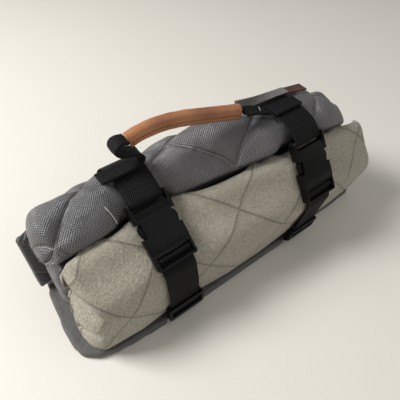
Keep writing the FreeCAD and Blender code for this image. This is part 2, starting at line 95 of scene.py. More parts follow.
# ------------------------------------------------------------------ finishes
class Recipe:
    """A node material being put together."""

    def __init__(self, name: str) -> None:
        """Starts an empty material with one main shader.

        Args:
            name: The material's name.
        """
        self.material = bpy.data.materials.new(name)
        self.material.use_nodes = True
        self.tree = self.material.node_tree
        self.tree.nodes.clear()
        self.shader = self.tree.nodes.new("ShaderNodeBsdfPrincipled")
        output = self.tree.nodes.new("ShaderNodeOutputMaterial")
        self.tree.links.new(self.shader.outputs[0], output.inputs[0])
        place = self.tree.nodes.new("ShaderNodeTexCoord")
        self.object_place = place.outputs["Object"]
        split = self.tree.nodes.new("ShaderNodeSeparateXYZ")
        self.tree.links.new(place.outputs["UV"], split.inputs[0])
        self.run = split.outputs[0]
        self.rise = split.outputs[1]
        self.surface: Optional[Socket] = None

    def feed(self, value: Union[Value, Colour], target: Socket) -> None:
        """Links a socket, or sets a plain value, on a target socket."""
        if isinstance(value, bpy.types.NodeSocket):
            self.tree.links.new(value, target)
        else:
            target.default_value = value

    def math(self, operation: str, first: Value, second: Value = 0.0, third: Value = 0.0) -> Socket:
        """One arithmetic step.

        Args:
            operation: The step's name.
            first: First number.
            second: Second number.
            third: Third number, where the step has one.

        Returns:
            The result's socket.
        """
        node = self.tree.nodes.new("ShaderNodeMath")
        node.operation = operation
        for value, target in zip((first, second, third), node.inputs):
            self.feed(value, target)
        return node.outputs[0]

    def ramp(self, value: Value, low: float, high: float, at_low: float = 0.0, at_high: float = 1.0) -> Socket:
        """A smooth change between two values.

        Args:
            value: What drives the change.
            low: Where it starts.
            high: Where it ends.
            at_low: The result at the start.
            at_high: The result at the end.

        Returns:
            The result's socket.
        """
        node = self.tree.nodes.new("ShaderNodeMapRange")
        node.interpolation_type = "SMOOTHSTEP"
        for item, target in zip((value, low, high, at_low, at_high), node.inputs):
            self.feed(item, target)
        return node.outputs[0]

    def grain(
        self, scale: float, detail: float = 3.0, rough: float = 0.55, stretch: Sequence[float] = (1, 1, 1)
    ) -> Socket:
        """Noise fixed to the piece.

        Args:
            scale: Cells per metre.
            detail: Finer layers.
            rough: Strength of the finer layers.
            stretch: Scale along each axis.

        Returns:
            The noise value's socket.
        """
        turn = self.tree.nodes.new("ShaderNodeMapping")
        turn.inputs["Scale"].default_value = stretch
        self.tree.links.new(self.object_place, turn.inputs["Vector"])
        node = self.tree.nodes.new("ShaderNodeTexNoise")
        node.inputs["Scale"].default_value = scale
        node.inputs["Detail"].default_value = detail
        node.inputs["Roughness"].default_value = rough
        self.tree.links.new(turn.outputs[0], node.inputs["Vector"])
        return node.outputs[0]

    def cells(self, scale: float) -> Socket:
        """Distance to the edges of small cells, as in hide."""
        node = self.tree.nodes.new("ShaderNodeTexVoronoi")
        node.feature = "DISTANCE_TO_EDGE"
        node.inputs["Scale"].default_value = scale
        self.tree.links.new(self.object_place, node.inputs["Vector"])
        return node.outputs[0]

    def mix(self, amount: Value, first: Union[Colour, Socket], second: Union[Colour, Socket]) -> Socket:
        """A blend of two colours.

        Args:
            amount: Share of the second colour.
            first: First colour.
            second: Second colour.

        Returns:
            The blend's socket.
        """
        node = self.tree.nodes.new("ShaderNodeMix")
        node.data_type = "RGBA"
        self.feed(amount, node.inputs[0])
        self.feed(first, node.inputs[6])
        self.feed(second, node.inputs[7])
        return node.outputs[2]

    def raise_by(self, height: Socket, distance: float, strength: float = 1.0) -> None:
        """Adds relief to the shading.

        Args:
            height: The relief's height, from 0 to 1.
            distance: The height that 1 stands for, in metres.
            strength: How much of it shows.
        """
        node = self.tree.nodes.new("ShaderNodeBump")
        node.inputs["Distance"].default_value = distance
        node.inputs["Strength"].default_value = strength
        self.tree.links.new(height, node.inputs["Height"])
        if self.surface is not None:
            self.tree.links.new(self.surface, node.inputs["Normal"])
        self.surface = node.outputs[0]

    def done(
        self, colour: Union[Colour, Socket], roughness: Value, **sockets: Union[float, Colour]
    ) -> bpy.types.Material:
        """Closes the recipe.

        Args:
            colour: The base colour.
            roughness: The roughness.
            **sockets: Constant values by socket name, with underscores for spaces.

        Returns:
            The finished material.
        """
        self.feed(colour, self.shader.inputs["Base Color"])
        self.feed(roughness, self.shader.inputs["Roughness"])
        for name, value in sockets.items():
            self.shader.inputs[name.replace("_", " ").title().replace("Ior", "IOR")].default_value = value
        if self.surface is not None:
            self.tree.links.new(self.surface, self.shader.inputs["Normal"])
        return self.material


@dataclass(frozen=True)
class Quilting:
    """Two crossing families of straight stitch lines, sewn as diamonds.

    Distances run along the bundle and round the layer, in metres.
    """

    pitch: float = 0.098
    rising: float = 0.086
    falling: float = 0.112

    def distance(self, along: np.ndarray, around: np.ndarray) -> np.ndarray:
        """Distance to the nearest stitch line.

        Args:
            along: Places along the bundle.
            around: Places round the layer.

        Returns:
            Distances in metres.
        """
        half = self.pitch / 2
        up = np.abs((along + around - self.rising + half) % self.pitch - half)
        down = np.abs((around - along - self.falling + half) % self.pitch - half)
        return np.minimum(up, down) / math.sqrt(2)

    def line(self, recipe: Recipe) -> tuple[Socket, Socket]:
        """The same distance inside a material.

        Args:
            recipe: The material being made.

        Returns:
            The distance to the nearest line, and a place along that line.
        """
        total = recipe.math("ADD", recipe.run, recipe.rise)
        difference = recipe.math("SUBTRACT", recipe.rise, recipe.run)
        up = recipe.math("PINGPONG", recipe.math("SUBTRACT", total, self.rising), self.pitch / 2)
        down = recipe.math("PINGPONG", recipe.math("SUBTRACT", difference, self.falling), self.pitch / 2)
        nearest = recipe.math("MULTIPLY", recipe.math("MINIMUM", up, down), 1 / math.sqrt(2))
        is_up = recipe.math("LESS_THAN", up, down)
        along_line = recipe.math("MULTIPLY_ADD", is_up, recipe.math("SUBTRACT", difference, total), total)
        return nearest, along_line


@dataclass(frozen=True)
class PlushFinish:
    """Short-pile plush with fine curls and sewn diamond lines, darkened along the lines with painted shade."""

    quilting: Quilting
    light: Colour = paint(211, 204, 187)
    deep: Colour = paint(174, 166, 147)
    # The seam colour is painted shade for the creases of the sunk stitch lines.
    seam_shade: Colour = paint(112, 105, 90)
    curl_scale: float = 520.0
    pile_scale: float = 1300.0

    def make(self) -> bpy.types.Material:
        """The plush material."""
        r = Recipe("plush_pile")
        curl = r.grain(self.curl_scale, 4, 0.62, (1.35, 1.0, 0.55))
        pile = r.grain(self.pile_scale, 2, 0.6)
        patch = r.grain(22, 3, 0.5)
        nearest, _ = self.quilting.line(r)
        colour = r.mix(r.ramp(curl, 0.34, 0.68), self.deep, self.light)
        colour = r.mix(r.ramp(patch, 0.35, 0.75, 0.0, 0.14), colour, self.deep)
        # Painted shade: the plush darkens towards the middle of each sunk stitch line.
        colour = r.mix(r.ramp(nearest, 0.0003, 0.0021, 0.62, 0.0), colour, self.seam_shade)
        r.raise_by(r.ramp(nearest, 0.0, 0.006), 0.0022, 0.9)
        r.raise_by(curl, 0.0036, 1.0)
        r.raise_by(pile, 0.0011, 0.9)
        return r.done(colour, 1.0, specular_ior_level=0.15, sheen_weight=0.35, sheen_roughness=0.45)


@dataclass(frozen=True)
class ShellFinish:
    """Dark grey woven shell cloth with a satin face and a visible basket weave, its raised tops painted lighter as
    highlight.
    """

    name: str
    quilting: Optional[Quilting] = None
    # deep is both the painted shade in the weave's hollows and the tone of random darker patches.
    base: Colour = paint(116, 114, 115)
    deep: Colour = paint(48, 47, 48)
    thread: Colour = paint(150, 149, 147)
    weave: float = 0.0026
    relief: float = 0.0008
    stitch: float = 0.0034

    def make(self) -> bpy.types.Material:
        """The shell material."""
        r = Recipe(self.name)
        turn = 2 * math.pi / self.weave
        warp = r.math("SINE", r.math("MULTIPLY", r.run, turn))
        weft = r.math("SINE", r.math("MULTIPLY", r.rise, turn))
        basket = r.math("MULTIPLY_ADD", r.math("MULTIPLY", warp, weft), 0.5, 0.5)
        patch = r.grain(30, 4, 0.6)
        # Painted highlight and shade: the weave is lighter on its raised tops and darker in its hollows, following its
        # relief.
        colour = r.mix(r.ramp(basket, 0.1, 0.8), self.deep, self.base)
        colour = r.mix(r.ramp(patch, 0.3, 0.8, 0.0, 0.3), colour, self.deep)
        if self.quilting is not None:
            nearest, place = self.quilting.line(r)
            dash = r.ramp(r.math("PINGPONG", place, self.stitch / 2), self.stitch * 0.16, self.stitch * 0.24)
            on_line = r.ramp(nearest, 0.0002, 0.0005, 0.6, 0.0)
            colour = r.mix(r.math("MULTIPLY", dash, on_line), colour, self.thread)
            r.raise_by(r.ramp(nearest, 0.0, 0.003), 0.0012, 0.8)
        r.raise_by(basket, self.relief, 0.8)
        r.raise_by(patch, 0.005, 0.5)
        return r.done(colour, r.ramp(patch, 0.2, 0.8, 0.3, 0.44), specular_ior_level=0.7)


@dataclass(frozen=True)
class LipFinish:
    """Smooth grey cloth of the bottom layer and its bound edge."""

    name: str = "bound_edge_cloth"
    base: Colour = paint(96, 94, 91)
    deep: Colour = paint(72, 70, 68)

    def make(self) -> bpy.types.Material:
        """The smooth cloth material."""
        r = Recipe(self.name)
        fine = r.grain(900, 3, 0.6)
        wrinkle = r.grain(60, 3, 0.5, (1, 1, 2.5))
        colour = r.mix(r.ramp(fine, 0.3, 0.7), self.deep, self.base)
        r.raise_by(wrinkle, 0.004, 0.5)
        r.raise_by(fine, 0.0005, 0.6)
        return r.done(colour, r.ramp(wrinkle, 0.3, 0.7, 0.55, 0.72), specular_ior_level=0.4, sheen_weight=0.1)


@dataclass(frozen=True)
class WebbingFinish:
    """Black polyester webbing with a fine slanting rib."""

    name: str = "webbing"
    base: Colour = paint(24, 24, 24)
    deep: Colour = paint(3, 3, 3)
    rib: float = 0.0026

    def make(self) -> bpy.types.Material:
        """The webbing material."""
        r = Recipe(self.name)
        turn = 2 * math.pi / self.rib
        slant = r.math("SINE", r.math("MULTIPLY", r.math("ADD", r.run, r.rise), turn))
        cross = r.math("SINE", r.math("MULTIPLY", r.math("SUBTRACT", r.run, r.rise), turn))
        twill = r.math("MULTIPLY_ADD", r.math("ADD", slant, r.math("MULTIPLY", cross, 0.5)), 0.33, 0.5)
        fuzz = r.grain(1400, 2, 0.6)
        colour = r.mix(r.ramp(twill, 0.15, 0.9), self.deep, self.base)
        r.raise_by(twill, 0.0006, 0.9)
        r.raise_by(fuzz, 0.0002, 0.4)
        return r.done(colour, r.ramp(fuzz, 0.3, 0.7, 0.5, 0.7), specular_ior_level=0.16)


@dataclass(frozen=True)
class PlasticFinish:
    """Black moulded plastic with a fine spark texture and slightly rubbed faces."""

    name: str = "moulded_plastic"
    base: Colour = paint(7, 7, 7)
    rubbed: Colour = paint(12, 12, 12)

    def make(self) -> bpy.types.Material:
        """The plastic material."""
        r = Recipe(self.name)
        spark = r.grain(2600, 2, 0.5)
        rub = r.grain(90, 4, 0.65)
        colour = r.mix(r.ramp(rub, 0.5, 0.78), self.base, self.rubbed)
        r.raise_by(spark, 0.00012, 0.7)
        return r.done(colour, r.ramp(rub, 0.3, 0.8, 0.34, 0.48), specular_ior_level=0.16)


@dataclass(frozen=True)
class LeatherFinish:
    """Smooth tan hide with pores, creases and a darker tone in random patches."""

    name: str = "tan_leather"
    base: Colour = paint(183, 120, 76)
    deep: Colour = paint(138, 84, 49)
    gloss: float = 0.3

    def make(self) -> bpy.types.Material:
        """The leather material."""
        r = Recipe(self.name)
        pores = r.cells(900)
        crease = r.grain(70, 5, 0.65, (1, 3, 3))
        tone = r.grain(28, 3, 0.5)
        colour = r.mix(r.ramp(tone, 0.3, 0.72), self.base, self.deep)
        colour = r.mix(r.ramp(pores, 0.0, 0.08, 0.35, 0.0), colour, self.deep)
        r.raise_by(r.ramp(pores, 0.0, 0.12), 0.00022, 0.7)
        r.raise_by(crease, 0.0012, 0.45)
        rough = r.ramp(crease, 0.3, 0.7, self.gloss, self.gloss + 0.12)
        return r.done(colour, rough, specular_ior_level=0.5, coat_weight=0.3, coat_roughness=0.22)


@dataclass(frozen=True)
class ThreadFinish:
    """Twisted sewing thread."""

    name: str
    base: Colour

    def make(self) -> bpy.types.Material:
        """The thread material."""
        r = Recipe(self.name)
        twist = r.grain(3000, 1, 0.5)
        dark = (self.base[0] * 0.6, self.base[1] * 0.6, self.base[2] * 0.6, 1.0)
        colour = r.mix(r.ramp(twist, 0.35, 0.65), dark, self.base)
        r.raise_by(twist, 0.0002, 0.6)
        return r.done(colour, 0.7, specular_ior_level=0.3)


@dataclass(frozen=True)
class FloorFinish:
    """A plain pale floor."""

    base: Colour = paint(219, 215, 206)

    def make(self) -> bpy.types.Material:
        """The floor material."""
        r = Recipe("pale_floor")
        soft = r.grain(6, 2, 0.5)
        colour = r.mix(r.ramp(soft, 0.3, 0.7, 0.0, 0.12), self.base, paint(212, 207, 197))
        return r.done(colour, 0.55, specular_ior_level=0.35)


@dataclass
class Finishes:
    """Every material, made once."""

    plush: bpy.types.Material
    shell: bpy.types.Material
    plain_shell: bpy.types.Material
    lip: bpy.types.Material
    webbing: bpy.types.Material
    plastic: bpy.types.Material
    leather: bpy.types.Material
    shaded_leather: bpy.types.Material
    lining: bpy.types.Material
    white_thread: bpy.types.Material
    brown_thread: bpy.types.Material
    black_thread: bpy.types.Material
    grey_thread: bpy.types.Material
    core: bpy.types.Material
    floor: bpy.types.Material


# ------------------------------------------------------------------ shared making
def evenly(points: np.ndarray, count: int, closed: bool = False) -> np.ndarray:
    """Points spaced evenly along a line.

    Args:
        points: The line's points.
        count: How many points to give.
        closed: Whether the line ends where it starts.

    Returns:
        The new points; on a closed line the last one repeats the first.
    """
    line = np.vstack([points, points[:1]]) if closed else points
    reach = np.concatenate([[0], np.cumsum(np.linalg.norm(np.diff(line, axis=0), axis=1))])
    at = np.linspace(0, reach[-1], count)
    return np.column_stack([np.interp(at, reach, line[:, k]) for k in range(line.shape[1])])


def lengths(points: np.ndarray) -> np.ndarray:
    """Distance from a line's start to each of its points."""
    return np.concatenate([[0], np.cumsum(np.linalg.norm(np.diff(points, axis=0), axis=1))])


class Cutter:
    """Cuts a CAD node square to one axis and gives the cut's outline."""

    def __init__(self, node: str, axis: int = 0) -> None:
        """Reads the node's triangles.

        Args:
            node: The CAD node's name.
            axis: 0, 1 or 2, the axis that the cuts are square to.
        """
        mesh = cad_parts[node].data
        mesh.calc_loop_triangles()
        places = np.empty(len(mesh.vertices) * 3)
        mesh.vertices.foreach_get("co", places)
        corners = np.empty(len(mesh.loop_triangles) * 3, dtype=np.int32)
        mesh.loop_triangles.foreach_get("vertices", corners)
        self.triangles = places.reshape(-1, 3)[corners.reshape(-1, 3)]
        self.axis = axis
        self.flat = [k for k in range(3) if k != axis]

    def outline(self, at: float) -> np.ndarray:
        """The longest closed outline of one cut.

        Args:
            at: Where to cut along the axis, in metres.

        Returns:
            The outline's points in the other two axes, in order.
        """
        side = self.triangles[:, :, self.axis] - at
        hit = (side.min(1) < 0) & (side.max(1) >= 0)
        links: dict[tuple[float, float], list[tuple[float, float]]] = {}
        for triangle, s in zip(self.triangles[hit], side[hit]):
            ends = []
            for a, b in ((0, 1), (1, 2), (2, 0)):
                if (s[a] < 0) != (s[b] < 0):
                    if tuple(triangle[b]) < tuple(triangle[a]):
                        a, b = b, a
                    point = triangle[a] + (triangle[b] - triangle[a]) * (s[a] / (s[a] - s[b]))
                    ends.append((round(float(point[self.flat[0]]), 7), round(float(point[self.flat[1]]), 7)))
            if len(ends) == 2 and ends[0] != ends[1]:
                links.setdefault(ends[0], []).append(ends[1])
                links.setdefault(ends[1], []).append(ends[0])
        best: list[tuple[float, float]] = []
        seen: set[tuple[float, float]] = set()
        for key in links:
            if key in seen:
                continue
            walk = [key]
            seen.add(key)
            while True:
                onward = [p for p in links[walk[-1]] if p not in seen]
                if not onward:
                    break
                walk.append(onward[0])
                seen.add(onward[0])
            if len(walk) > len(best):
                best = walk
        return np.array(best)


def band_line(node: str, axis: int, count: int, thick: float) -> tuple[np.ndarray, float, float]:
    """The middle line of a flat CAD band.

    Args:
        node: The band's CAD node.
        axis: The axis that its width lies along.
        count: How many points to give.
        thick: The band's thickness.

    Returns:
        The line's points, the middle of the width along the axis, and the width.
    """
    low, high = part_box(node)
    middle = (low[axis] + high[axis]) / 2
    cut = Cutter(node, axis)
    raw = cut.outline(middle)
    total = lengths(np.vstack([raw, raw[:1]]))[-1]
    loop = evenly(raw, int(total / (thick / 4)), True)[:-1]
    n = len(loop)
    before = loop - np.roll(loop, 4, axis=0)
    after = np.roll(loop, -4, axis=0) - loop
    turn = (before * after).sum(1) / (np.linalg.norm(before, axis=1) * np.linalg.norm(after, axis=1))
    first = int(np.argmin(turn))
    apart = np.minimum(np.abs(np.arange(n) - first), n - np.abs(np.arange(n) - first))
    second = int(np.argmin(np.where(apart > n / 4, turn, 9)))
    first, second = sorted((first, second))
    one = evenly(loop[first : second + 1], count)
    other = evenly(np.vstack([loop[second:], loop[: first + 1]])[::-1], count)
    flat = (one + other) / 2
    line = np.insert(flat, axis, middle, axis=1)
    return line, middle, high[axis] - low[axis]


def new_piece(
    name: str, build: bmesh.types.BMesh, material: bpy.types.Material, smooth: bool = True
) -> bpy.types.Object:
    """Turns a mesh being built into an object of the scene.

    Args:
        name: The piece's name.
        build: The mesh being built, which is used up.
        material: Its finish.
        smooth: Whether its faces shade smoothly.

    Returns:
        The new object.
    """
    mesh = bpy.data.meshes.new(name)
    build.to_mesh(mesh)
    build.free()
    mesh.materials.append(material)
    if smooth:
        mesh.shade_smooth()
    piece = bpy.data.objects.new(name, mesh)
    bpy.context.scene.collection.objects.link(piece)
    LOG.info("%s: %d faces", name, len(mesh.polygons))
    return piece


def net(places: np.ndarray, uvs: np.ndarray, round_section: bool) -> bmesh.types.BMesh:
    """A grid laid over rows and columns of places.

    Args:
        places: Positions, rows by columns by 3.
        uvs: Cloth coordinates, rows by columns by 2.
        round_section: Whether the last column closes onto the first.

    Returns:
        The mesh being built, with doubles merged and normals outward.
    """
    rows, columns = places.shape[:2]
    build = bmesh.new()
    bmesh.ops.create_grid(build, x_segments=rows - 1, y_segments=columns - 1, size=1.0)
    layer = build.loops.layers.uv.new("cloth")
    spot = {}
    for vert in build.verts:
        i = round((vert.co.x + 1) / 2 * (rows - 1))
        j = round((vert.co.y + 1) / 2 * (columns - 1))
        spot[vert] = (i, j)
        vert.co = places[i, j]
    for face in build.faces:
        for loop in face.loops:
            loop[layer].uv = uvs[spot[loop.vert]]
    if round_section:
        bmesh.ops.remove_doubles(build, verts=build.verts, dist=1e-6)
        bmesh.ops.recalc_face_normals(build, faces=build.faces)
    return build


def sweep(
    name: str, line: np.ndarray, across: np.ndarray, profile: np.ndarray, material: bpy.types.Material
) -> bpy.types.Object:
    """A profile carried along a line, closed at both ends.

    Args:
        name: The piece's name.
        line: Points of the line.
        across: At each point, the direction of the profile's first axis.
        profile: The closed profile's points, first across and then out.
        material: Its finish.

    Returns:
        The new object.
    """
    ahead = np.gradient(line, axis=0)
    ahead /= np.linalg.norm(ahead, axis=1)[:, None]
    across = across - ahead * (across * ahead).sum(1)[:, None]
    across = across / np.linalg.norm(across, axis=1)[:, None]
    out = np.cross(across, ahead)
    ring = np.vstack([profile, profile[:1]])
    places = line[:, None] + ring[None, :, :1] * across[:, None] + ring[None, :, 1:] * out[:, None]
    uvs = np.stack(np.broadcast_arrays(lengths(ring)[None, :], lengths(line)[:, None]), axis=-1)
    build = net(places, uvs, True)
    edges = [e for e in build.edges if e.is_boundary]
    bmesh.ops.holes_fill(build, edges=edges, sides=0)
    bmesh.ops.recalc_face_normals(build, faces=build.faces)
    return new_piece(name, build, material)


def flat_profile(width: float, thick: float, crown: float = 0.0) -> np.ndarray:
    """The cross-section of webbing, with round selvages.

    Args:
        width: Its width.
        thick: Its thickness.
        crown: How far the middle stands out.

    Returns:
        The closed profile's points.
    """
    half, r = width / 2, thick / 2
    top = [(x, r + crown * (1 - (x / half) ** 2)) for x in np.linspace(half - r, -half + r, 11)]
    left = [(-half + r - r * math.sin(a), r * math.cos(a)) for a in np.linspace(0.5, math.pi - 0.5, 4)]
    under = [(x, -r + crown * (1 - (x / half) ** 2)) for x in np.linspace(-half + r, half - r, 11)]
    right = [(half - r + r * math.sin(a), -r * math.cos(a)) for a in np.linspace(0.5, math.pi - 0.5, 4)]
    return np.array(top + left + under + right)


def smooth_line(points: Sequence[Sequence[float]], count: int) -> np.ndarray:
    """A smooth line through a few points.

    Args:
        points: The points to pass through, in millimetres.
        count: How many points to give.

    Returns:
        The line's points in metres, evenly spaced.
    """
    p = np.array(points, float) * MM
    ends = np.vstack([2 * p[0] - p[1], p, 2 * p[-1] - p[-2]])
    out = []
    for a, b, c, d in zip(ends, ends[1:], ends[2:], ends[3:]):
        for t in np.linspace(0, 1, 12, endpoint=False):
            square = 2 * a - 5 * b + 4 * c - d
            cube = 3 * b - a - 3 * c + d
            out.append(0.5 * (2 * b + (c - a) * t + square * t**2 + cube * t**3))
    out.append(p[-1])
    return evenly(np.array(out), count)


def stitch_row(
    name: str, line: np.ndarray, material: bpy.types.Material, pitch: float = 3.2 * MM, radius: float = 0.35 * MM
) -> bpy.types.Object:
    """A row of separate stitches along a line.

    Args:
        name: The piece's name.
        line: Points of the row.
        material: The thread.
        pitch: From one stitch to the next.
        radius: The thread's radius.

    Returns:
        The new object.
    """
    build = bmesh.new()
    reach = lengths(line)
    count = max(2, int(reach[-1] / pitch))
    spots = evenly(line, 2 * count)
    for start, end in zip(spots[::2], spots[1::2]):
        a, b = Vector(start), Vector(end)
        turn = (b - a).to_track_quat("X", "Z").to_matrix().to_4x4()
        size = Matrix.Diagonal(((b - a).length * 0.62, radius, radius, 1))
        place = Matrix.Translation((a + b) / 2) @ turn @ size
        bmesh.ops.create_icosphere(build, subdivisions=1, radius=1.0, matrix=place)
    return new_piece(name, build, material)


def merged_copy(nodes: Sequence[str]) -> bmesh.types.BMesh:
    """CAD meshes copied into one mesh, with their loose triangles joined.

    Args:
        nodes: The CAD nodes to copy.

    Returns:
        The mesh being built.
    """
    build = bmesh.new()
    for node in nodes:
        build.from_mesh(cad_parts[node].data)
    bmesh.ops.remove_doubles(build, verts=build.verts, dist=2e-6)
    return build


def settle(piece: bpy.types.Object) -> None:
    """Applies a piece's modifiers to its mesh.

    Args:
        piece: The piece.
    """
    graph = bpy.context.evaluated_depsgraph_get()
    graph.update()
    mesh = bpy.data.meshes.new_from_object(piece.evaluated_get(graph))
    old = piece.data
    piece.modifiers.clear()
    piece.data = mesh
    mesh.name = piece.name
    bpy.data.meshes.remove(old)


def dressed(piece: bpy.types.Object, body: str, slot: str, *nodes: str) -> bpy.types.Object:
    """Puts a finished piece on its body.

    Args:
        piece: The piece.
        body: The body it rides on.
        slot: The record's material slot; not used.
        *nodes: CAD nodes that it stands for.

    Returns:
        The piece.
    """
    if nodes:
        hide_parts(*nodes)
    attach(piece, body)
    return piece


def read_points(piece: bpy.types.Object) -> tuple[np.ndarray, np.ndarray]:
    """Positions and normals of a piece's points.

    Args:
        piece: The piece.

    Returns:
        Positions and outward normals, one row each.
    """
    mesh = piece.data
    n = len(mesh.vertices)
    co, no = np.empty(n * 3), np.empty(n * 3)
    mesh.vertices.foreach_get("co", co)
    mesh.vertex_normals.foreach_get("vector", no)
    return co.reshape(-1, 3), no.reshape(-1, 3)


def read_cloth(piece: bpy.types.Object) -> np.ndarray:
    """The cloth coordinates of each point of a piece.

    Args:
        piece: The piece.

    Returns:
        Along and around, one row for each point.
    """
    mesh = piece.data
    uv = np.empty(len(mesh.loops) * 2)
    mesh.uv_layers["cloth"].data.foreach_get("uv", uv)
    vertex = np.empty(len(mesh.loops), dtype=np.int32)
    mesh.loops.foreach_get("vertex_index", vertex)
    out = np.zeros((len(mesh.vertices), 2))
    out[vertex] = uv.reshape(-1, 2)
    return out


def write_points(piece: bpy.types.Object, places: np.ndarray) -> None:
    """Moves a piece's points.

    Args:
        piece: The piece.
        places: New positions, one row each.
    """
    piece.data.vertices.foreach_set("co", places.astype(np.float32).ravel())
    piece.data.update()


def ease(value: np.ndarray, low: float, high: float) -> np.ndarray:
    """A smooth step from 0 to 1 between two values."""
    t = np.clip((value - low) / (high - low), 0, 1)
    return t * t * (3 - 2 * t)


def ripple(places: np.ndarray, scale: float, seed: float) -> np.ndarray:
    """Soft random waves at given places.

    Args:
        places: Positions, one row each.
        scale: Waves per metre.
        seed: Moves the pattern.

    Returns:
        One value from about -1 to 1 for each place.
    """
    shift = Vector((seed, -seed, seed * 0.5))
    return np.array([noise.noise(Vector(p) * scale + shift) for p in places])


# ------------------------------------------------------------------ the folded mat
@dataclass
class Lobe:
    """One soft folded layer of the mat, crowned between its stitch lines.

    Sizes are in metres. The layer follows its CAD solid's cross-sections.
    """

    node: str
    outward: tuple[float, float]
    start: tuple[float, float]
    nose: float
    material: bpy.types.Material
    slot: str
    quilting: Quilting
    # How far the cloth stands out between its stitch lines, sinks along them and waves.
    crown: float = 0.0070
    sunk: float = 0.0048
    sunk_reach: float = 0.0065
    crown_reach: float = 0.019
    wave: float = 0.0018
    # The folds that close each end.
    hollow: float = 0.008
    leaf_depth: float = 0.0022
    puff: float = 0.002
    slit_steps: int = 9
    # Slots in the left end, each a height and a lean, and how far that end leans in.
    notches: tuple[tuple[float, float], ...] = ()
    notch_depth: float = 0.006
    notch_width: float = 0.006
    notch_reach: float = 0.040
    lean_in: float = 0.0
    spacing: float = 0.004
    around: int = 108
    # Where the straps press on it.
    pressed: tuple[float, ...] = (-0.098, 0.085)
    press_half: float = 0.0235
    fill: float = 0.7
    seed: float = 1.0
    simulate: bool = True
    cap_rings: int = 12
    # A push towards a neighbour: its direction and the height it starts at.
    tuck: Optional[tuple[float, float, float]] = None
    tuck_by: float = 0.0038
    # The filling's pressure, and how far it may swell the cloth.
    pressure: float = 4.0
    swell_steps: int = 20
    most_swell: float = 0.0045
    least_swell: float = 0.0003
    sewn_width: float = 0.0028
    # The sunk stitching and the puckers beside it.
    groove: float = 0.0013
    groove_width: float = 0.0016
    pucker: float = 0.0009
    pucker_reach: float = 0.010

    def ring(self, cutter: Cutter, x: float, inset: float) -> tuple[np.ndarray, np.ndarray]:
        """One cross-section, drawn in.

        Args:
            cutter: The CAD node's cutter.
            x: Where along the bundle.
            inset: How far it is drawn in.

        Returns:
            The section's points and the distance round it to each.
        """
        loop = evenly(cutter.outline(x), 4 * self.around + 1, True)[:-1]
        area = np.sum(loop[:, 0] * np.roll(loop[:, 1], -1) - np.roll(loop[:, 0], -1) * loop[:, 1])
        if area > 0:
            loop = loop[::-1]
        middle = loop.mean(0)
        aim = np.array(self.start) / math.hypot(*self.start)
        rest = loop - middle
        angle = np.arctan2(aim[0] * rest[:, 1] - aim[1] * rest[:, 0], rest @ aim)
        following = np.roll(angle, -1)
        hits = np.nonzero((angle >= 0) != (following >= 0))[0]
        k = int(hits[np.argmin(np.abs(angle[hits]))])
        share = angle[k] / (angle[k] - following[k])
        begin = loop[k] + (loop[(k + 1) % len(loop)] - loop[k]) * share
        line = np.vstack([begin, np.roll(loop, -(k + 1), axis=0), begin])
        even = evenly(line, self.around + 1)
        reach = lengths(even)
        if inset:
            ahead = np.roll(even[:-1], -2, axis=0) - np.roll(even[:-1], 2, axis=0)
            ahead /= np.linalg.norm(ahead, axis=1)[:, None]
            inward = np.column_stack([ahead[:, 1], -ahead[:, 0]])
            drawn = even[:-1] + inward * inset
            even = np.vstack([drawn, drawn[:1]])
        return even, reach

    def shape(self) -> bmesh.types.BMesh:
        """The layer's smooth closed form, with a swirl of folds at each end."""
        low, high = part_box(self.node)
        cutter = Cutter(self.node)
        nose = [self.nose * (1 - math.cos(a)) for a in np.linspace(0, math.pi / 2, 7)]
        body = np.arange(low.x + self.nose, high.x - self.nose, self.spacing)
        xs = [(low.x + d, d) for d in nose[:-1]]
        xs += [(x, self.nose) for x in body]
        xs += [(high.x - d, d) for d in nose[::-1]]
        rows, cloth = [], []
        for x, d in xs:
            inset = self.nose - math.sqrt(max(0.0, self.nose**2 - (self.nose - d) ** 2))
            section, reach = self.ring(cutter, min(max(x, low.x + 2e-4), high.x - 2e-4), inset)
            rows.append(np.column_stack([np.full(len(section), x), section]))
            cloth.append(np.column_stack([np.full(len(section), x), reach]))
        for end, sign in ((0, 1), (-1, -1)):
            edge, uv = rows[end], cloth[end]
            middle = edge[:-1].mean(0)
            rest = (edge - middle)[:, 1:]
            _, _, axes = np.linalg.svd(rest[:-1], full_matrices=False)
            reach, width = np.abs(rest @ axes[0]).max(), np.abs(rest @ axes[1]).max()
            half = max(reach - 0.75 * width, 0.002)
            slit = np.round(np.clip(rest @ axes[0] / half, -1, 1) * self.slit_steps) / self.slit_steps * half
            fold = middle + np.column_stack([np.zeros(len(slit)), slit[:, None] * axes[0]])
            caps, maps = [], []
            for share in np.linspace(1, 0, self.cap_rings + 1)[1:]:
                ring = fold + (edge - fold) * share
                leaf = math.exp(-(((share - 0.52) / 0.09) ** 2))
                puffed = self.puff * math.sin(math.pi * share)
                ring[:, 0] += sign * (self.hollow * (1 - share) ** 2.2 + self.leaf_depth * leaf - puffed)
                caps.append(ring)
                inward = np.linalg.norm(edge - fold, axis=1) * (1 - share)
                maps.append(np.column_stack([uv[:, 0] - sign * inward, uv[:, 1]]))
            if end == 0:
                rows, cloth = caps[::-1] + rows, maps[::-1] + cloth
            else:
                rows, cloth = rows + caps, cloth + maps
        return net(np.array(rows), np.array(cloth), True)

    def held(self, places: np.ndarray) -> np.ndarray:
        """How firmly the straps press each point, from 0 to 1."""
        press = np.zeros(len(places))
        for x in self.pressed:
            press = np.maximum(press, 1 - ease(np.abs(places[:, 0] - x), self.press_half, self.press_half + 0.013))
        return press

    def capped(self, cloth: np.ndarray) -> np.ndarray:
        """1 on the layer's two ends and 0 along its body.

        Args:
            cloth: Cloth coordinates of the points.

        Returns:
            One value for each point.
        """
        low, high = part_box(self.node)
        beyond = np.maximum(low.x - cloth[:, 0], cloth[:, 0] - high.x)
        return ease(beyond, -0.006, 0.001)

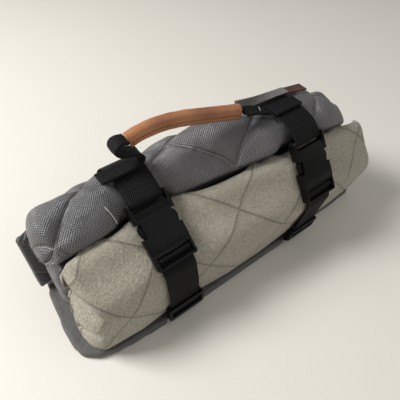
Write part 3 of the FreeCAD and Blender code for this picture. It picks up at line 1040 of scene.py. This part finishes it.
    def crowned(self, piece: bpy.types.Object) -> None:
        """Raises the cloth between stitch lines and sinks it along them.

        Args:
            piece: The layer's object.
        """
        places, normals = read_points(piece)
        cloth = read_cloth(piece)
        low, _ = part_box(self.node)
        facing = ease(normals[:, 1] * self.outward[0] + normals[:, 2] * self.outward[1], -0.25, 0.35)
        ends = self.capped(cloth)
        near = self.quilting.distance(cloth[:, 0], cloth[:, 1])
        height = self.crown * (1 - np.exp(-near / self.crown_reach)) - self.sunk * np.exp(-near / self.sunk_reach)
        waves = self.wave * (ripple(places, 26, self.seed) + 0.5 * ripple(places, 70, self.seed + 7))
        free = 1 - self.held(places)
        shift = (height + waves) * facing * (1 - ends) * (0.08 + 0.92 * free)
        places += normals * shift[:, None]
        if self.tuck is not None:
            toward = np.array([0.0, self.tuck[0], self.tuck[1]])
            beside = ease(normals @ toward, -0.1, 0.7) * ease(places[:, 2], self.tuck[2], self.tuck[2] + 0.02)
            places += toward * (self.tuck_by * beside * free)[:, None]
        if self.notches:
            left = 1 - ease(places[:, 0] - low.x, 0.0, self.notch_reach)
            slot = np.zeros(len(places))
            for z, lean in self.notches:
                level = z + lean * (places[:, 1] + 0.03)
                slot = np.maximum(slot, np.exp(-(((places[:, 2] - level) / self.notch_width) ** 2)))
            lean_in = self.lean_in * (0.55 + 0.45 * ease(places[:, 2], 0.02, 0.1))
            places[:, 0] += left * (slot * self.notch_depth + lean_in)
            places -= normals * (slot * left * self.notch_depth * 0.5 * facing * (1 - ends))[:, None]
        write_points(piece, places)

    def inflated(self, piece: bpy.types.Object) -> None:
        """Lets pressure fill the layer while its seams stay sewn down.

        Args:
            piece: The layer's object.
        """
        start, normals = read_points(piece)
        cloth = read_cloth(piece)
        near = self.quilting.distance(cloth[:, 0], cloth[:, 1])
        facing = ease(normals[:, 1] * self.outward[0] + normals[:, 2] * self.outward[1], -0.2, 0.3)
        facing = facing * (1 - self.capped(cloth))
        sewn = np.clip(np.exp(-((near / self.sewn_width) ** 2)) + self.held(start) + (1 - facing), 0, 1)
        group = piece.vertex_groups.new(name="sewn")
        for index, weight in enumerate(sewn):
            if weight > 0.05:
                group.add([index], float(weight), "REPLACE")
        cloth_modifier = piece.modifiers.new("cloth", "CLOTH")
        settings = cloth_modifier.settings
        settings.quality = 5
        settings.mass = 0.3
        settings.tension_stiffness = 18
        settings.compression_stiffness = 12
        settings.shear_stiffness = 6
        settings.bending_stiffness = 0.6
        settings.use_pressure = True
        settings.uniform_pressure_force = self.pressure
        settings.effector_weights.gravity = 0
        settings.vertex_group_mass = "sewn"
        settings.pin_stiffness = 1.0
        scene = bpy.context.scene
        for number in range(1, self.swell_steps + 1):
            scene.frame_set(number)
        graph = bpy.context.evaluated_depsgraph_get()
        swollen = piece.evaluated_get(graph).to_mesh()
        moved = np.empty(len(start) * 3)
        swollen.vertices.foreach_get("co", moved)
        piece.evaluated_get(graph).to_mesh_clear()
        piece.modifiers.clear()
        piece.vertex_groups.clear()
        scene.frame_set(1)
        shift = moved.reshape(-1, 3) - start
        size = np.linalg.norm(shift, axis=1)
        most = self.most_swell * facing * (1 - self.held(start)) + self.least_swell
        factor = np.where(size > 1e-9, most * np.tanh(size / most) / np.maximum(size, 1e-9), 0)
        write_points(piece, start + np.nan_to_num(shift * factor[:, None]))

    def stitched(self, piece: bpy.types.Object) -> None:
        """Presses fine grooves along the stitch lines, with puckers beside them.

        Args:
            piece: The layer's object, at its final fineness.
        """
        places, normals = read_points(piece)
        cloth = read_cloth(piece)
        near = self.quilting.distance(cloth[:, 0], cloth[:, 1])
        facing = ease(normals[:, 1] * self.outward[0] + normals[:, 2] * self.outward[1], -0.1, 0.3)
        facing = facing * (1 - self.capped(cloth))
        free = 1 - self.held(places)
        groove = -self.groove * np.exp(-((near / self.groove_width) ** 2))
        pucker = self.pucker * ripple(places, 150, self.seed + 3) * np.exp(-near / self.pucker_reach)
        places += normals * ((groove * (0.35 + 0.65 * free) + pucker * free) * facing)[:, None]
        write_points(piece, places)

    def make(self, name: str) -> bpy.types.Object:
        """The finished layer.

        Args:
            name: The piece's name.

        Returns:
            The object, on its body.
        """
        piece = new_piece(name, self.shape(), self.material)
        self.crowned(piece)
        if self.simulate:
            self.inflated(piece)
        finer = piece.modifiers.new("finer", "SUBSURF")
        finer.levels = finer.render_levels = 1
        settle(piece)
        self.stitched(piece)
        piece.data.shade_smooth()
        return dressed(piece, Body.BUNDLE.value, self.slot, self.node)


@dataclass
class Mat:
    """The quilted mat, folded into a bundle of layers."""

    finishes: Finishes
    front_quilting: Quilting
    roll_quilting: Quilting
    hem_heights: tuple[float, ...] = (0.036, 0.028)
    evened_to: float = 2.1 * MM
    rim_wave: float = 1.1 * MM

    def bottom(self) -> bpy.types.Object:
        """The bottom layer with its bound edge, soft and slightly rounded."""
        nodes = ["base_panel", "binding_front", "binding_left", "binding_right"]
        build = merged_copy(nodes)
        piece = new_piece("bottom_layer", build, self.finishes.lip)
        remesh = piece.modifiers.new("even", "REMESH")
        remesh.mode = "VOXEL"
        remesh.voxel_size = self.evened_to
        soften = piece.modifiers.new("soften", "SMOOTH")
        soften.factor = 0.5
        soften.iterations = 9
        settle(piece)
        places, normals = read_points(piece)
        rim = ease(np.abs(normals[:, 2]), 0.9, 0.3) * ease(places[:, 2], 0.002, 0.005)
        places += normals * (rim * self.rim_wave * ripple(places, 42, 5.0))[:, None]
        write_points(piece, places)
        piece.data.shade_smooth()
        return dressed(piece, Body.BUNDLE.value, "binding_tape", *nodes)

    def hems(self) -> list[bpy.types.Object]:
        """Short rows of hem stitching on the back layer's left end."""
        low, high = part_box("back_panel")
        out = []
        for k, z in enumerate(self.hem_heights):
            beside = low.x - 0.0003
            row = np.array([(beside, high.y - 0.0155, z - 0.001), (beside, high.y - 0.0075, z)])
            piece = stitch_row(f"back_layer_hem_{k + 1}", row, self.finishes.grey_thread, 2.6 * MM, 0.35 * MM)
            out.append(dressed(piece, Body.BUNDLE.value, "woven_shell"))
        return out

    def layers(self) -> list[bpy.types.Object]:
        """Every layer above the bottom one."""
        f = self.finishes
        front = Lobe(
            "front_fold", (-0.85, 0.5), (-0.47, -0.88), 0.015, f.plush, "plush", self.front_quilting,
            notches=((0.084, 0.25), (0.045, -0.15)), seed=2.0, hollow=0.012, tuck=(0.75, 0.66, 0.100), lean_in=0.010,
        )
        top = Lobe(
            "top_roll", (-0.2, 0.98), (-1.0, 0.0), 0.016, f.shell, "woven_shell", self.roll_quilting,
            crown=0.0045, sunk=0.003, wave=0.0026, hollow=0.018, seed=4.0, around=96,
            tuck=(-0.75, -0.66, 0.104), tuck_by=0.0062,
        )
        inner = Lobe(
            "inner_fold", (-0.3, 0.9), (-0.9, -0.4), 0.013, f.plain_shell, "woven_shell", self.roll_quilting,
            crown=0.0, sunk=0.0, hollow=0.014, seed=6.0, around=84, spacing=0.006, simulate=False, fill=0.5,
        )
        back = Lobe(
            "back_panel", (1.0, 0.1), (0.0, -1.0), 0.0035, f.shell, "woven_shell", self.front_quilting,
            crown=0.0022, sunk=0.0014, hollow=0.0, leaf_depth=0.0, puff=0.0, seed=8.0, around=84, simulate=False,
            fill=0.4, cap_rings=4,
        )
        return [
            front.make("plush_fold"), top.make("shell_roll"), inner.make("inner_layer"), back.make("back_layer"),
        ]


# ------------------------------------------------------------------ the carrier's webbing
@dataclass
class CarrierStrap:
    """One webbing strap, in the part above its buckle and the part below."""

    side: Side
    finishes: Finishes
    thick: float = 1.5 * MM
    cad_thick: float = 1.6 * MM
    spacing: float = 2.5 * MM
    tack_rows: tuple[float, ...] = (0.021, 0.027)
    tack_half: float = 0.0155
    keeper_travel: float = 0.014

    def tacks(self, line: np.ndarray) -> bpy.types.Object:
        """Rows of stitches that close the webbing's loop round the buckle's bar.

        Args:
            line: The upper strip's middle line.

        Returns:
            The stitches' object.
        """
        if line[0, 2] < line[-1, 2]:
            line = line[::-1]
        reach = lengths(line)
        rows = []
        for k, at in enumerate(self.tack_rows):
            i = int(np.searchsorted(reach, at))
            ahead = line[i + 1] - line[i - 1]
            ahead /= np.linalg.norm(ahead)
            out = np.array([0.0, -ahead[2], ahead[1]])
            out *= 1 if out[2] > 0 else -1
            middle = line[i] + out * (self.thick / 2 + 0.0002)
            side = np.array([self.tack_half * (1 - 2 * (k % 2)), 0.0, 0.0])
            rows += [middle - side, middle + side]
        name = f"webbing_{self.side.value}_tacks"
        piece = stitch_row(name, np.array(rows), self.finishes.black_thread, 2.8 * MM, 0.32 * MM)
        return dressed(piece, Body.BUNDLE.value, "webbing")

    def strip(self, node: str, name: str) -> bpy.types.Object:
        """A strip of webbing along a CAD band.

        Args:
            node: The CAD band.
            name: The piece's name.

        Returns:
            The strip's object.
        """
        line, _, width = band_line(node, 0, 400, self.cad_thick)
        count = int(lengths(line)[-1] / self.spacing)
        line = evenly(line, count)
        across = np.tile([1.0, 0.0, 0.0], (count, 1))
        return sweep(name, line, across, flat_profile(width, self.thick), self.finishes.webbing)

    def make(self) -> list[bpy.types.Object]:
        """Both parts of the strap."""
        side = self.side.value
        upper = self.strip(f"strap_{side}_upper", f"webbing_{side}_over_top")
        dressed(upper, Body.BUNDLE.value, "webbing", f"strap_{side}_upper")
        tacks = self.tacks(band_line(f"strap_{side}_upper", 0, 400, self.cad_thick)[0])
        lower = self.strip(f"strap_{side}_lower", f"webbing_{side}_front")
        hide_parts(f"strap_{side}_lower")
        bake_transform(lower)
        return [upper, tacks, lower]


@dataclass
class MouldedParts:
    """The buckles' and keepers' plastic mouldings, with broken edges."""

    finishes: Finishes
    edge: float = 0.45 * MM

    def moulding(self, node: str, body: str, edge: Optional[float] = None) -> bpy.types.Object:
        """A CAD moulding with its sharp edges rounded.

        Args:
            node: The CAD node.
            body: The body it rides on.
            edge: The rounding's width, if not the usual.

        Returns:
            The object.
        """
        build = merged_copy([node])
        bmesh.ops.dissolve_limit(
            build, angle_limit=math.radians(2), use_dissolve_boundaries=False, verts=build.verts, edges=build.edges,
        )
        piece = new_piece(f"moulded_{node}", build, self.finishes.plastic, smooth=False)
        rounding = piece.modifiers.new("edges", "BEVEL")
        rounding.width = edge or self.edge
        rounding.segments = 2
        rounding.limit_method = "ANGLE"
        rounding.angle_limit = math.radians(40)
        rounding.use_clamp_overlap = True
        rounding.harden_normals = False
        settle(piece)
        piece.data.shade_smooth()
        piece.data.set_sharp_from_angle(angle=math.radians(38))
        return dressed(piece, body, "buckle_plastic", node)

    def make(self) -> list[bpy.types.Object]:
        """Every moulding of both straps."""
        out = []
        for side in Side:
            s = side.value
            out.append(self.moulding(f"socket_{s}", "bundle"))
            out.append(self.moulding(f"plug_{s}", f"plug_{s}"))
            out.append(self.moulding(f"prong_{s}_outer", f"prong_{s}_outer", 0.6 * MM))
            out.append(self.moulding(f"prong_{s}_inner", f"prong_{s}_inner", 0.6 * MM))
            out.append(self.moulding(f"keeper_{s}", f"keeper_{s}", 0.35 * MM))
        return out


# ------------------------------------------------------------------ the handle
@dataclass
class CarryHandle:
    """The leather grip, its filling, the folded webbing at each end and the sewn ends."""

    finishes: Finishes
    path: tuple[tuple[float, float, float], ...] = (
        (-94, 22.4, 195.4), (-81, 20.8, 199.6), (-61, 17.8, 202.2), (-38, 14, 200.8), (-14, 9.8, 196.4),
        (8, 5.4, 192.2), (27, 1.4, 189),
    )
    radius: float = 6.4 * MM
    seam_out: float = 3.0 * MM
    seam_deg: float = 118.0
    stitch_deg: float = 152.0
    web_thick: float = 3.2 * MM
    fold_crown: float = 0.8 * MM
    sewn_crown: float = 0.2 * MM
    sewn_slope_deg: float = 3.5
    sewn_width: float = 18.0 * MM
    box_half: float = 6.5 * MM
    box_inset: float = 4.0 * MM

    def grip_profile(self) -> np.ndarray:
        """The grip's section: a round body with the sewn edge standing out at its low front side."""
        points = []
        for k in range(28):
            a = 2 * math.pi * k / 28
            lift = math.exp(-((((a - math.radians(self.seam_deg)) + math.pi) % (2 * math.pi) - math.pi) / 0.26) ** 2)
            r = self.radius * (1 - 0.05 * math.cos(2 * a)) + self.seam_out * lift
            points.append((r * math.cos(a), r * math.sin(a)))
        return np.array(points)

    def grip(self) -> list[bpy.types.Object]:
        """The sewn leather tube, its filling and its seam's stitches."""
        line = smooth_line(self.path, 90)
        across = np.tile([0.0, 1.0, 0.0], (len(line), 1))
        tube = sweep("leather_grip", line, across, self.grip_profile(), self.finishes.leather)
        places, normals = read_points(tube)
        places += normals * (0.0003 * ripple(places, 120, 3.0))[:, None]
        write_points(tube, places)
        dressed(tube, Body.HANDLE.value, "leather", "grip_leather")
        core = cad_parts["grip_core"]
        core.data.materials.clear()
        core.data.materials.append(self.finishes.core)
        angle = math.radians(self.stitch_deg)
        ahead = np.gradient(line, axis=0)
        ahead /= np.linalg.norm(ahead, axis=1)[:, None]
        side = across - ahead * (across * ahead).sum(1)[:, None]
        side /= np.linalg.norm(side, axis=1)[:, None]
        out = np.cross(side, ahead)
        reach = self.radius * 1.02
        row = line + side * reach * math.cos(angle) + out * reach * math.sin(angle)
        stitches = stitch_row("grip_stitches", row[2:-2], self.finishes.brown_thread, 3.4 * MM, 0.38 * MM)
        dressed(stitches, Body.HANDLE.value, "leather")
        return [tube, stitches]

    def ends(self) -> list[bpy.types.Object]:
        """The folded webbing between the grip and each sewn end."""
        out = []
        for side in Side:
            node = f"handle_webbing_{side.value}"
            line, _, width = band_line(node, 1, 240, self.web_thick)
            line = evenly(line, 60)
            across = np.tile([0.0, 1.0, 0.0], (60, 1))
            profile = flat_profile(width, self.web_thick, self.fold_crown)
            piece = sweep(f"grip_webbing_{side.value}", line, across, profile, self.finishes.webbing)
            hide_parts(node)
            if side is Side.LEFT:
                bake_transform(piece)
            else:
                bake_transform(piece)
            out.append(piece)
        return out

    def anchors(self) -> list[bpy.types.Object]:
        """The flat sewn ends with their box stitching."""
        out = []
        for side in Side:
            node = f"handle_anchor_{side.value}"
            low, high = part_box(node)
            rise = 0.0 if side is Side.LEFT else math.tan(math.radians(self.sewn_slope_deg))
            middle_y = (low.y + high.y) / 2
            line = np.column_stack([
                np.linspace(low.x + 0.0002, high.x - 0.0002, 24), np.full(24, middle_y),
                np.full(24, (low.z + high.z) / 2),
            ])
            across = np.tile([0.0, 1.0, rise], (24, 1))
            width = min(high.y - low.y, self.sewn_width)
            profile = flat_profile(width, self.web_thick, self.sewn_crown)
            piece = sweep(f"sewn_end_{side.value}", line, across, profile, self.finishes.webbing)
            dressed(piece, Body.BUNDLE.value, "webbing", node)
            out.append(piece)
            x0, x1 = low.x + self.box_inset, high.x - self.box_inset
            y0, y1 = middle_y - self.box_half, middle_y + self.box_half
            top = (low.z + high.z) / 2 + self.web_thick / 2 + 0.0002
            corners = [(x0, y0), (x1, y0), (x1, y1), (x0, y1), (x0, y0), (x1, y1)]
            row = np.array([(x, y, top + (y - middle_y) * rise) for x, y in corners])
            name = f"sewn_end_{side.value}_stitches"
            stitches = stitch_row(name, evenly(row, 80), self.finishes.black_thread, 2.6 * MM, 0.3 * MM)
            dressed(stitches, Body.BUNDLE.value, "webbing")
            out.append(stitches)
        return out

    def make(self) -> list[bpy.types.Object]:
        """Every piece of the handle."""
        return self.grip() + self.ends() + self.anchors()


@dataclass
class LeatherTab:
    """The loose leather tab with its cloth lining, resting behind the right strap; both plies are painted darker as
    shade.
    """

    finishes: Finishes
    edge: float = 0.35 * MM

    def ply(self, node: str, name: str, material: bpy.types.Material, slot: str) -> bpy.types.Object:
        """One ply with soft edges.

        Args:
            node: The ply's CAD node.
            name: The piece's name.
            material: Its finish.
            slot: The record's material slot.

        Returns:
            The object.
        """
        build = merged_copy([node])
        bmesh.ops.subdivide_edges(build, edges=build.edges, cuts=1, use_grid_fill=True)
        piece = new_piece(name, build, material, smooth=False)
        rounding = piece.modifiers.new("edges", "BEVEL")
        rounding.width = self.edge
        rounding.segments = 2
        rounding.limit_method = "ANGLE"
        rounding.angle_limit = math.radians(40)
        settle(piece)
        piece.data.shade_smooth()
        piece.data.set_sharp_from_angle(angle=math.radians(50))
        return dressed(piece, Body.BUNDLE.value, slot, node)

    def make(self) -> list[bpy.types.Object]:
        """Both plies."""
        return [
            self.ply("tab_leather", "tab_outer_ply", self.finishes.shaded_leather, "leather"),
            self.ply("tab_lining", "tab_lining_ply", self.finishes.lining, "tab_lining"),
        ]


@dataclass
class ThreadTails:
    """Loose ends of white thread left at the tacks."""

    finishes: Finishes
    radius: float = 0.35 * MM
    runs: tuple[tuple[str, tuple[tuple[float, float, float], ...]], ...] = (
        ("tail_left", ((-136, 4, 146), (-134, -3, 141), (-132, -9, 131))),
        ("tail_right", ((105, -33, 168), (107, -38, 163), (110, -42, 156))),
        ("tail_top", ((50, -4, 186), (50.5, -6, 184), (50, -8, 180))),
    )

    def make(self) -> list[bpy.types.Object]:
        """Every loose tail."""
        out = []
        for name, points in self.runs:
            line = smooth_line(points, 10)
            across = np.tile([1.0, 0.2, 0.0], (len(line), 1))
            angles = np.linspace(0, 2 * math.pi, 7)[:-1]
            ring = np.array([(self.radius * math.cos(a), self.radius * math.sin(a)) for a in angles])
            piece = sweep(name, line, across, ring, self.finishes.white_thread)
            out.append(dressed(piece, Body.BUNDLE.value, "tab_lining"))
        return out


# ------------------------------------------------------------------ the studio
@dataclass
class Studio:
    """A pale floor, soft window light from behind on the left, and the camera."""

    finishes: Finishes
    camera_at: tuple[float, float, float] = (-0.217, -0.250, 0.425)
    tilt: float = math.radians(43)
    turn: float = math.radians(-37.5)
    lens: float = 35.55
    window_at: tuple[float, float, float] = (-1.05, 0.75, 1.35)
    window_size: float = 0.75
    window_watts: float = 40.0
    room_at: tuple[float, float, float] = (0.7, -1.2, 1.5)
    room_size: float = 1.8
    room_watts: float = 9.0
    sky: float = 0.26
    sky_colour: Colour = (1.0, 0.985, 0.96, 1.0)

    def floor(self) -> bpy.types.Object:
        """The floor."""
        build = bmesh.new()
        bmesh.ops.create_grid(build, x_segments=4, y_segments=4, size=4.0)
        floor = new_piece("floor", build, self.finishes.floor)
        return floor

    def lamp(self, name: str, at: tuple[float, float, float], size: float, watts: float) -> None:
        """A soft square light aimed at the bundle.

        Args:
            name: The light's name.
            at: Its place.
            size: Its side.
            watts: Its power.
        """
        light = bpy.data.lights.new(name, "AREA")
        light.size = size
        light.energy = watts
        lamp = bpy.data.objects.new(name, light)
        lamp.location = at
        lamp.rotation_euler = (Vector((0, 0, 0.08)) - Vector(at)).to_track_quat("-Z", "Y").to_euler()
        bpy.context.scene.collection.objects.link(lamp)

    def make(self) -> None:
        """Everything round the object."""
        self.floor()
        self.lamp("window", self.window_at, self.window_size, self.window_watts)
        self.lamp("room", self.room_at, self.room_size, self.room_watts)
        world = bpy.data.worlds.new("room_light")
        world.use_nodes = True
        background = world.node_tree.nodes["Background"]
        background.inputs[0].default_value = self.sky_colour
        background.inputs[1].default_value = self.sky
        bpy.context.scene.world = world
        bpy.context.scene.view_settings.view_transform = "Standard"
        camera = bpy.data.cameras.new("camera")
        camera.lens = self.lens
        camera.sensor_width = 36.0
        camera.clip_start = 0.01
        eye = bpy.data.objects.new("camera", camera)
        eye.location = self.camera_at
        eye.rotation_euler = (self.tilt, 0.0, self.turn)
        bpy.context.scene.collection.objects.link(eye)
        bpy.context.scene.camera = eye


def finishes(front: Quilting, roll: Quilting) -> Finishes:
    """Every material of the object.

    Args:
        front: The plush side's stitch lines.
        roll: The shell side's stitch lines.

    Returns:
        The finished materials.
    """
    return Finishes(
        plush=PlushFinish(front).make(),
        shell=ShellFinish("woven_shell_quilted", roll).make(),
        plain_shell=ShellFinish("woven_shell_plain", None, paint(84, 83, 84), paint(62, 61, 62), relief=0.0002).make(),
        lip=LipFinish().make(),
        webbing=WebbingFinish().make(),
        plastic=PlasticFinish().make(),
        leather=LeatherFinish().make(),
        # Painted shade: the tab's outer ply reuses the tan leather finish, made much darker for a ply that faces away
        # from the light.
        shaded_leather=LeatherFinish("shaded_leather", paint(92, 46, 32), paint(48, 24, 18), 0.5).make(),
        # Painted shade: the tab lining's grey is set darker than the cloth to stand for the shade it lies in.
        lining=LipFinish("tab_lining_cloth", paint(120, 117, 114), paint(88, 86, 84)).make(),
        white_thread=ThreadFinish("white_thread", paint(226, 224, 218)).make(),
        brown_thread=ThreadFinish("brown_thread", paint(88, 48, 28)).make(),
        black_thread=ThreadFinish("black_thread", paint(52, 52, 54)).make(),
        grey_thread=ThreadFinish("grey_thread", paint(150, 150, 150)).make(),
        core=WebbingFinish("grip_filling").make(),
        floor=FloorFinish().make(),
    )


def main() -> None:
    """Builds every piece in order and reports it."""
    logging.basicConfig(level=logging.INFO, format="%(name)s: %(message)s")
    front, roll = Quilting(), Quilting(rising=0.014, falling=0.010)
    made = finishes(front, roll)
    Studio(made).make()
    mat = Mat(made, front, roll)
    pieces = mat.layers() + [mat.bottom()] + mat.hems()
    for side in Side:
        pieces += CarrierStrap(side, made).make()
    pieces += MouldedParts(made).make()
    pieces += CarryHandle(made).make()
    pieces += LeatherTab(made).make()
    pieces += ThreadTails(made).make()
    for piece in pieces:
        LOG.info("placed %s", piece.name)


if __name__ == "__main__":
    main()
